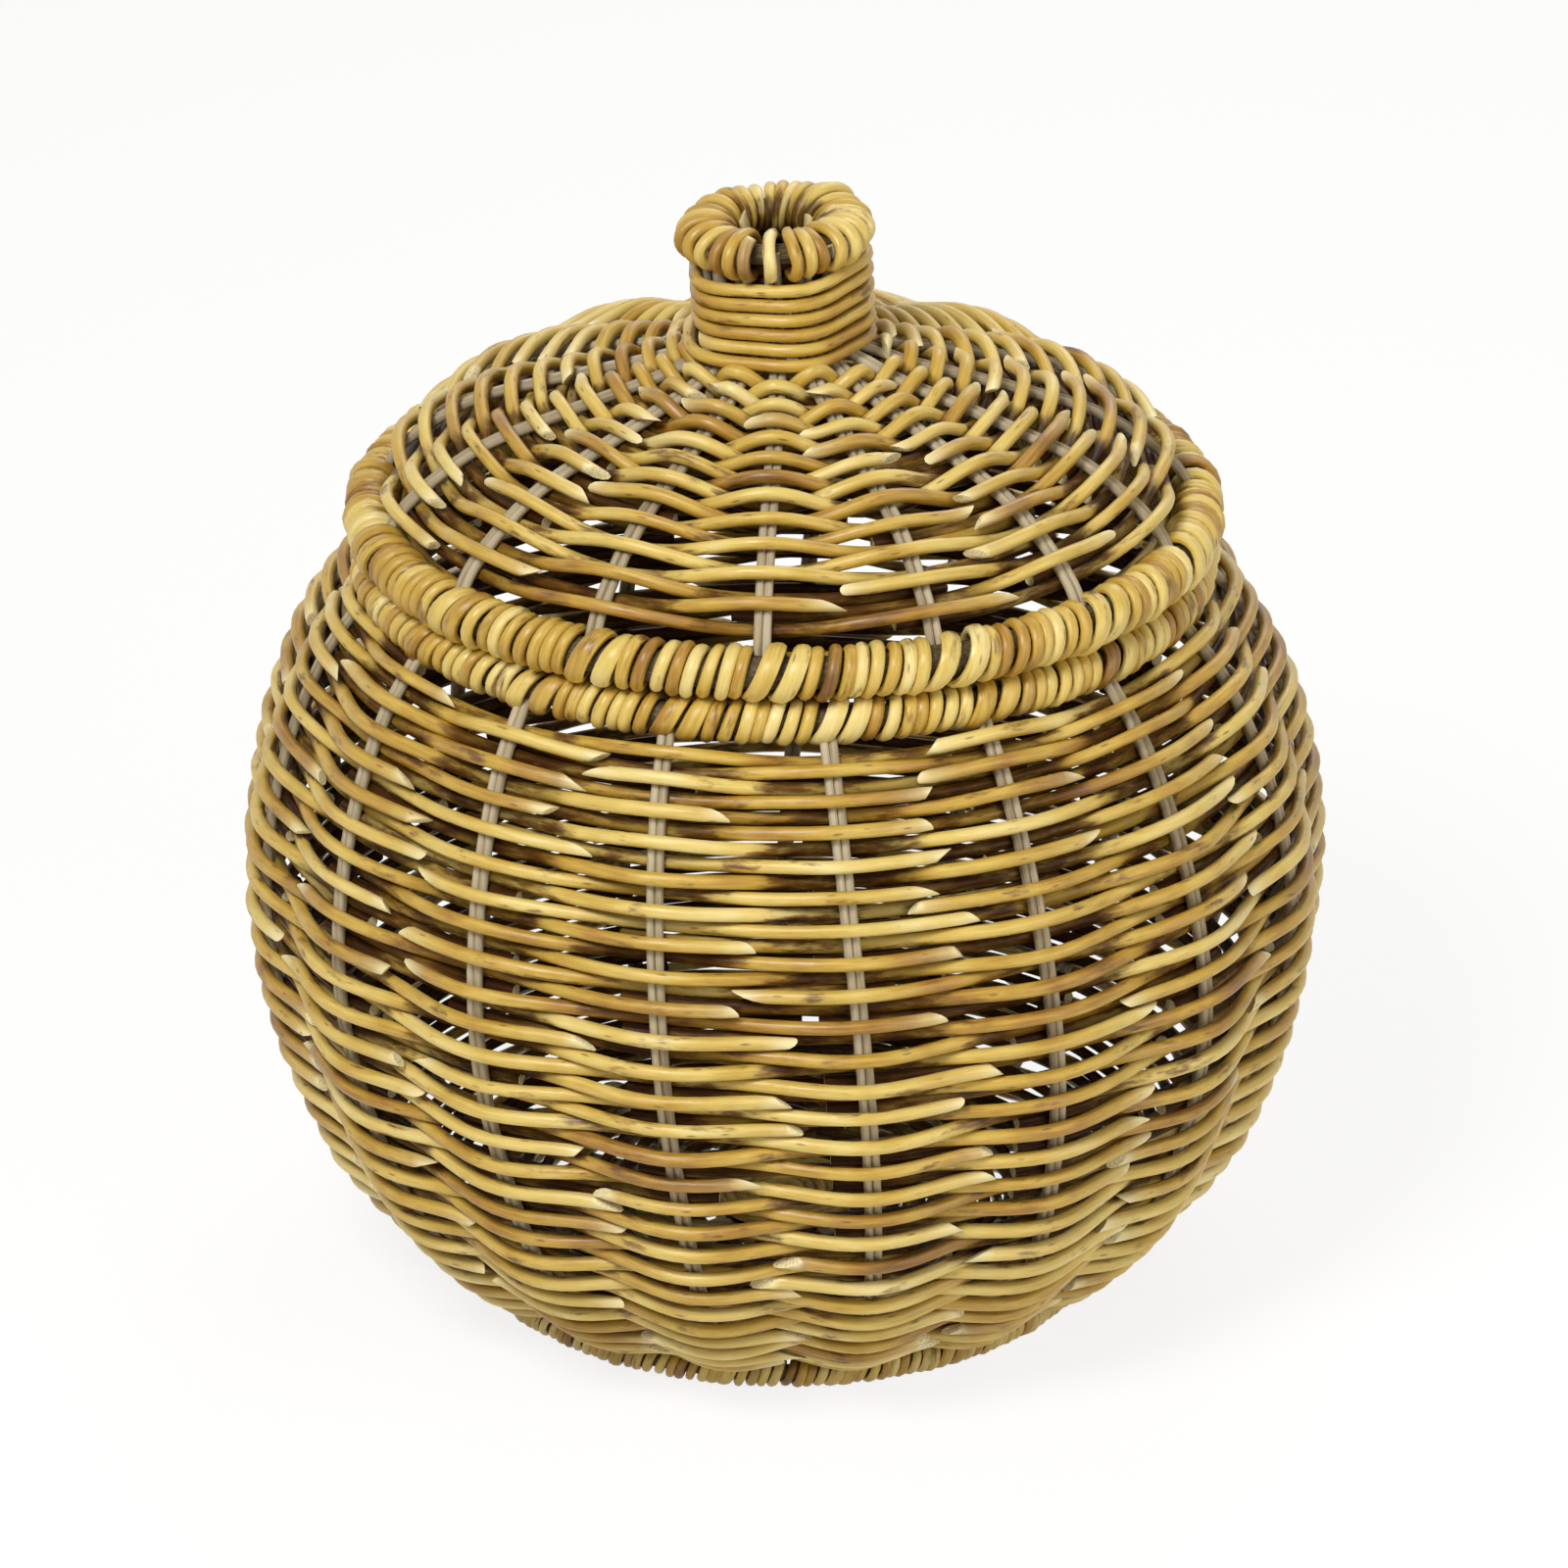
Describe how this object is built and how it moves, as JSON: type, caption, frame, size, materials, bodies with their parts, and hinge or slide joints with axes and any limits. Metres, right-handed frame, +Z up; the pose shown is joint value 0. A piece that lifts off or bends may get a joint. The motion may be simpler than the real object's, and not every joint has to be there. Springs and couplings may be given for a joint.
{
  "type": "round storage basket with lid",
  "caption": "Round bellied storage basket woven from round strands over paired stakes, with wrapped rims and a loose domed lid lifted by a wound ring knob.",
  "frame": {"origin": "on the ground under the middle of the basket", "axes": "+Z up, -Y towards the viewer, +X to the viewer's right"},
  "size_m": [0.4195, 0.4192, 0.4369],
  "materials": {
    "strand": "satin, golden ochre with brown stains",
    "wrap": "satin, golden ochre, lighter on top",
    "stake": "dull grey tan",
    "hoop": "dull tan"
  },
  "bodies": {
    "basket": {"base_centre": "strand", "base_weave": "strand", "foot_hoop": "hoop", "foot_wrap": "wrap", "body_weave": "strand", "body_stake_pair_01": "stake", "body_stake_pair_02": "stake", "body_stake_pair_03": "stake", "body_stake_pair_04": "stake", "body_stake_pair_05": "stake", "body_stake_pair_06": "stake", "body_stake_pair_07": "stake", "body_stake_pair_08": "stake", "body_stake_pair_09": "stake", "body_stake_pair_10": "stake", "body_stake_pair_11": "stake", "body_stake_pair_12": "stake", "body_stake_pair_13": "stake", "body_stake_pair_14": "stake", "body_stake_pair_15": "stake", "body_stake_pair_16": "stake", "body_stake_pair_17": "stake", "rim_hoop": "hoop", "rim_wrap": "wrap"},
    "lid": {"lid_weave": "strand", "lid_stake_pair_01": "stake", "lid_stake_pair_02": "stake", "lid_stake_pair_03": "stake", "lid_stake_pair_04": "stake", "lid_stake_pair_05": "stake", "lid_stake_pair_06": "stake", "lid_stake_pair_07": "stake", "lid_stake_pair_08": "stake", "lid_stake_pair_09": "stake", "lid_stake_pair_10": "stake", "lid_stake_pair_11": "stake", "lid_stake_pair_12": "stake", "lid_stake_pair_13": "stake", "lid_stake_pair_14": "stake", "lid_stake_pair_15": "stake", "lid_rim_hoop": "hoop", "lid_rim_wrap": "wrap", "lid_locating_band": "hoop", "knob_neck_winding": "wrap", "knob_ring_winding": "wrap", "knob_ring_core": "hoop"}
  },
  "joints": [
    {"name": "lid_lift", "type": "slide", "parent": "basket", "child": "lid", "axis": [0, 0, 1], "range_m": [0, 0.16]}
  ]
}
